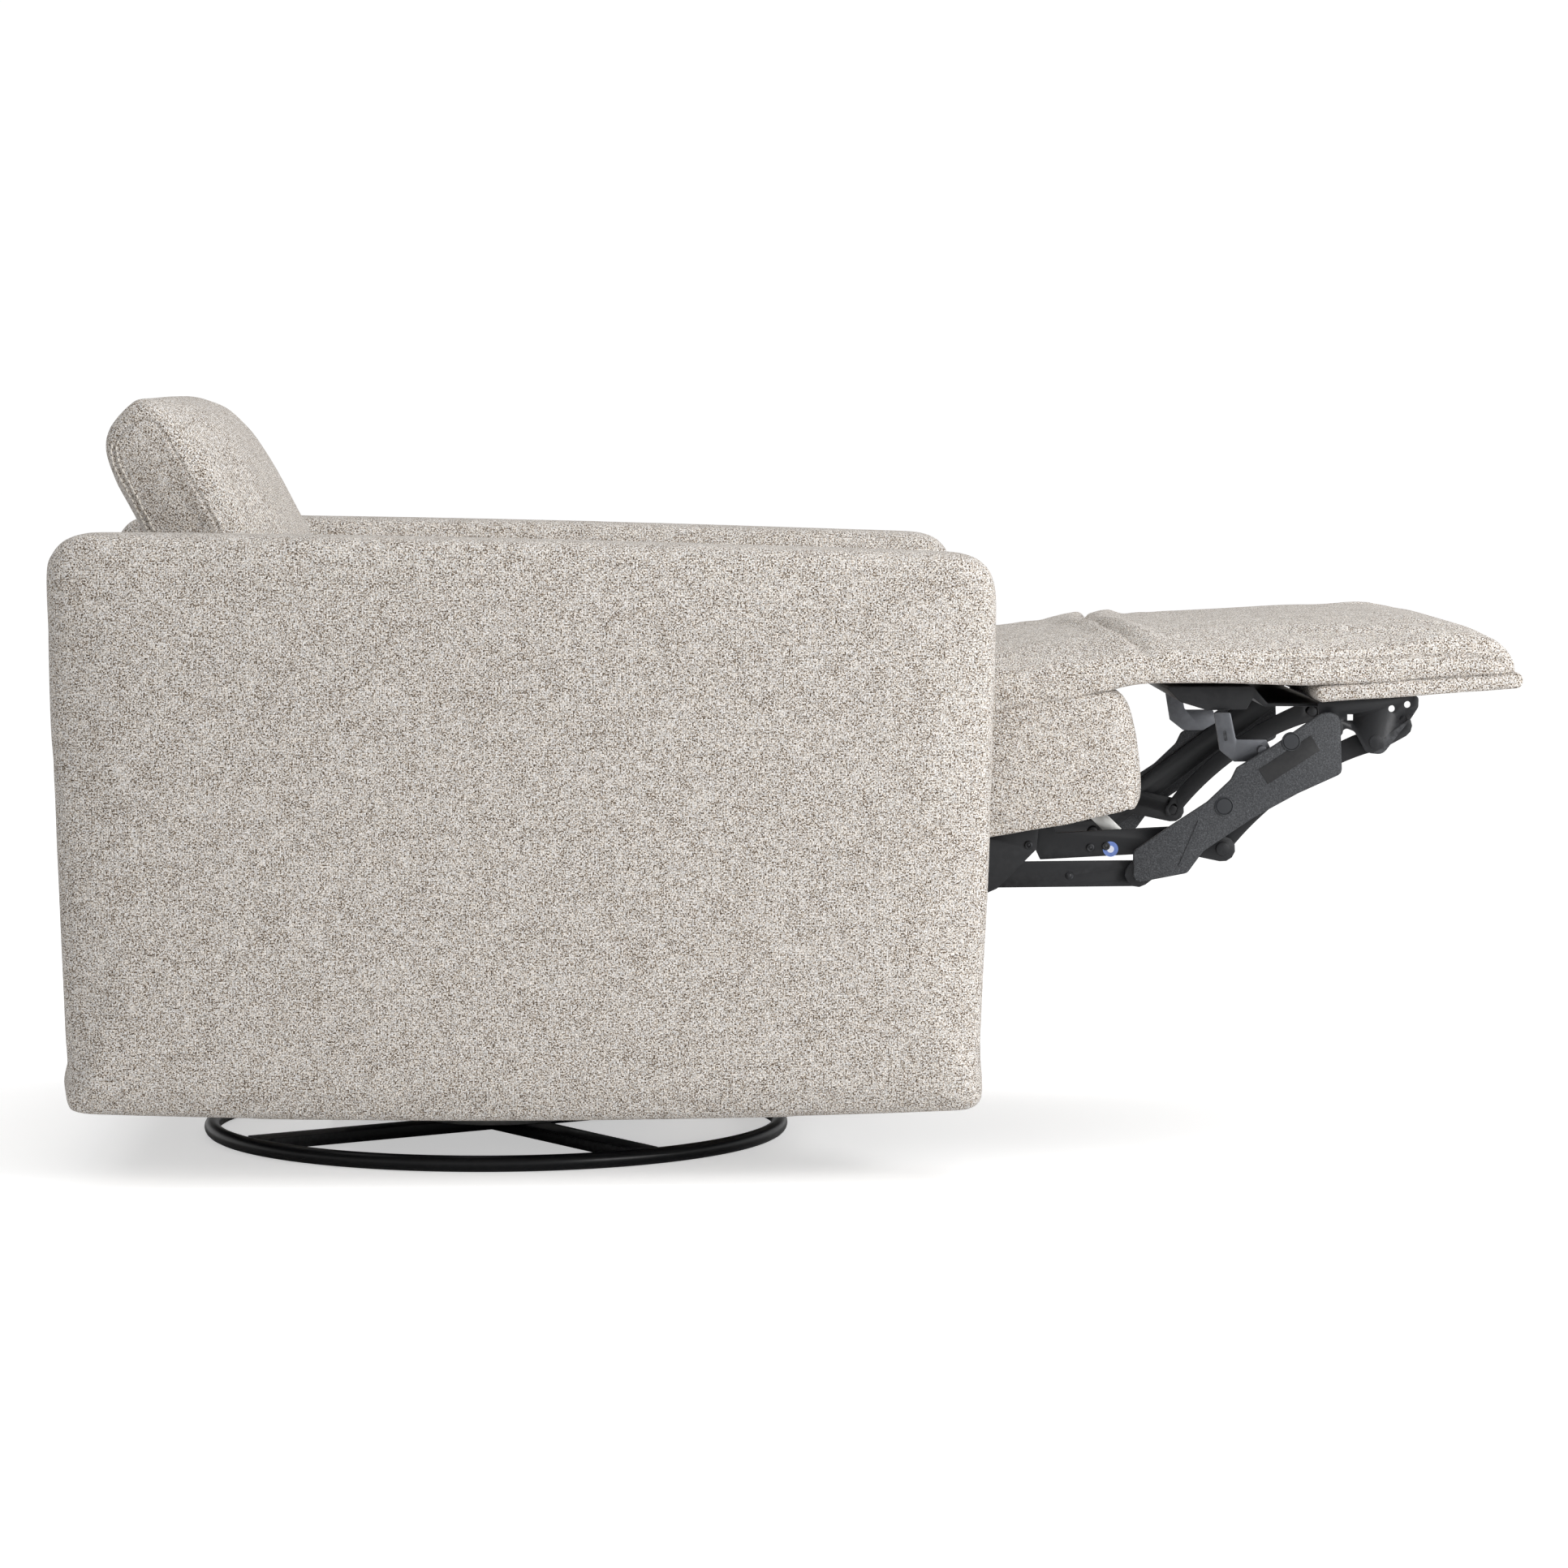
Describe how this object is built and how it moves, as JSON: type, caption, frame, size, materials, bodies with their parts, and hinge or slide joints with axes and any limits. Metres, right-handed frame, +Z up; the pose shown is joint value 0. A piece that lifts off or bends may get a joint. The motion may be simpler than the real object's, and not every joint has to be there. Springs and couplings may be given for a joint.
{
  "type": "glider nursery chair",
  "caption": "Upholstered swivel glider with a reclining back and a fold-out footrest on a ring base, held fully reclined.",
  "frame": {"origin": "floor level, at the centre of the footprint of the fully reclined chair", "axes": "+X the way the sitter faces, towards the footrest; +Y the sitter's left; +Z up"},
  "size_m": [1.3902, 0.8, 0.732],
  "materials": {
    "oatmeal_weave": "nubby tweed with brown and cream flecks",
    "black_steel": "satin black coating",
    "zinc_steel": "dull zinc plate",
    "textured_plastic": "fine moulded texture",
    "plywood": "raw plywood",
    "black_cloth": "webbing"
  },
  "bodies": {
    "base": {"base_ring": "black_steel", "base_cross": "black_steel", "bearing_lower_race": "zinc_steel", "bearing_ball_cage": "zinc_steel"},
    "swivel": {"bearing_upper_race": "zinc_steel", "swivel_bolt": "zinc_steel", "swivel_plate": "black_steel", "glide_bracket_right": "black_steel", "glide_bracket_left": "black_steel"},
    "glide_front": {"glide_link_front_right": "black_steel", "glide_link_front_left": "black_steel"},
    "glide_rear": {"glide_link_rear_right": "black_steel", "glide_link_rear_left": "black_steel"},
    "chassis": {"chassis_rail_right": "black_steel", "chassis_rail_left": "black_steel", "cross_member_front": "black_cloth", "cross_member_rear": "black_cloth", "rear_panel": "oatmeal_weave", "arm_right": "oatmeal_weave", "arm_left": "oatmeal_weave", "arm_frame_right": "plywood", "arm_frame_left": "plywood"},
    "recline_front": {"recline_link_front_right": "black_steel", "recline_link_front_left": "black_steel"},
    "recline_rear": {"recline_link_rear_right": "black_steel", "recline_link_rear_left": "black_steel"},
    "seat": {"seat_plate_right": "black_steel", "seat_plate_left": "black_steel", "seat_frame": "plywood", "seat_border": "oatmeal_weave", "seat_spring_1": "black_steel", "seat_spring_2": "black_steel", "seat_spring_3": "black_steel", "seat_cushion": "oatmeal_weave", "front_stay": "zinc_steel"},
    "release": {"release_tab": "black_cloth"},
    "back": {"back_bracket_right": "black_steel", "back_bracket_left": "black_steel", "back_frame": "plywood", "back_cushion": "oatmeal_weave", "back_cover": "oatmeal_weave"},
    "lift": {"lift_link_right": "black_steel", "lift_link_left": "black_steel", "torque_tube": "black_steel"},
    "carrier": {"carrier_link_right": "black_steel", "carrier_link_left": "black_steel"},
    "long": {"long_link_right": "black_steel", "long_link_left": "black_steel", "link_guard_right": "textured_plastic", "link_guard_left": "textured_plastic", "flap_support_right": "zinc_steel", "flap_support_left": "zinc_steel"},
    "upper": {"upper_link_right": "black_steel", "upper_link_left": "black_steel"},
    "footrest": {"footrest_board": "oatmeal_weave", "footrest_bracket_right": "black_steel", "footrest_bracket_left": "black_steel", "flap_tray": "black_steel", "footrest_cushion": "oatmeal_weave"}
  },
  "joints": [
    {"name": "swivel_turn", "type": "hinge", "parent": "base", "child": "swivel", "pos_m": [-0.289, 0, 0.02], "axis": [0, 0, 1], "continuous": true},
    {"name": "glide_swing", "type": "hinge", "parent": "swivel", "child": "glide_front", "pos_m": [-0.164, 0, 0.152], "axis": [0, 1, 0], "range_deg": [-22, 22]},
    {"name": "glide_rear_swing", "type": "hinge", "parent": "swivel", "child": "glide_rear", "pos_m": [-0.414, 0, 0.152], "axis": [0, 1, 0], "range_deg": [-23, 23]},
    {"name": "glide_carry", "type": "hinge", "parent": "glide_front", "child": "chassis", "pos_m": [-0.164, 0, 0.072], "axis": [0, 1, 0], "range_deg": [-23, 23]},
    {"name": "recline_swing", "type": "hinge", "parent": "chassis", "child": "recline_front", "pos_m": [0.015, 0, 0.12641], "axis": [0, -1, 0], "range_deg": [0, 69]},
    {"name": "recline_rear_swing", "type": "hinge", "parent": "chassis", "child": "recline_rear", "pos_m": [-0.285, 0, 0.07841], "axis": [0, -1, 0], "range_deg": [-1, 70]},
    {"name": "seat_carry", "type": "hinge", "parent": "recline_front", "child": "seat", "pos_m": [0.1, 0, 0.25], "axis": [0, -1, 0], "range_deg": [-70, 1]},
    {"name": "back_tilt", "type": "hinge", "parent": "seat", "child": "back", "pos_m": [-0.4, 0, 0.3], "axis": [0, 1, 0], "range_deg": [-1, 18]},
    {"name": "footrest_fold", "type": "hinge", "parent": "seat", "child": "footrest", "pos_m": [0.37, 0, 0.462], "axis": [0, 1, 0], "range_deg": [0, 94]},
    {"name": "lift_swing", "type": "hinge", "parent": "seat", "child": "lift", "pos_m": [0.185, 0, 0.322], "axis": [0, 1, 0], "range_deg": [-1, 95]},
    {"name": "carrier_swing", "type": "hinge", "parent": "seat", "child": "carrier", "pos_m": [0.2238, 0, 0.3584], "axis": [0, 1, 0], "range_deg": [-1, 95]},
    {"name": "long_carry", "type": "hinge", "parent": "lift", "child": "long", "pos_m": [0.333, 0, 0.28], "axis": [0, 1, 0], "range_deg": [-95, 1]},
    {"name": "upper_carry", "type": "hinge", "parent": "carrier", "child": "upper", "pos_m": [0.4162, 0, 0.303], "axis": [0, 1, 0], "range_deg": [-95, 1]},
    {"name": "release_pull", "type": "slide", "parent": "seat", "child": "release", "axis": [0, 0, 1], "range_m": [0, 0.025], "stiffness_N_per_m": 60}
  ],
  "couplings": [
    {"joint": "glide_rear_swing", "follows": "glide_swing", "ratio": 1},
    {"joint": "glide_carry", "follows": "glide_swing", "ratio": -1},
    {"joint": "recline_rear_swing", "follows": "recline_swing", "ratio": 1},
    {"joint": "seat_carry", "follows": "recline_swing", "ratio": -1},
    {"joint": "back_tilt", "follows": "recline_swing", "ratio": 0.25},
    {"joint": "lift_swing", "follows": "footrest_fold", "ratio": 1},
    {"joint": "carrier_swing", "follows": "footrest_fold", "ratio": 1},
    {"joint": "long_carry", "follows": "footrest_fold", "ratio": -1},
    {"joint": "upper_carry", "follows": "footrest_fold", "ratio": -1}
  ]
}
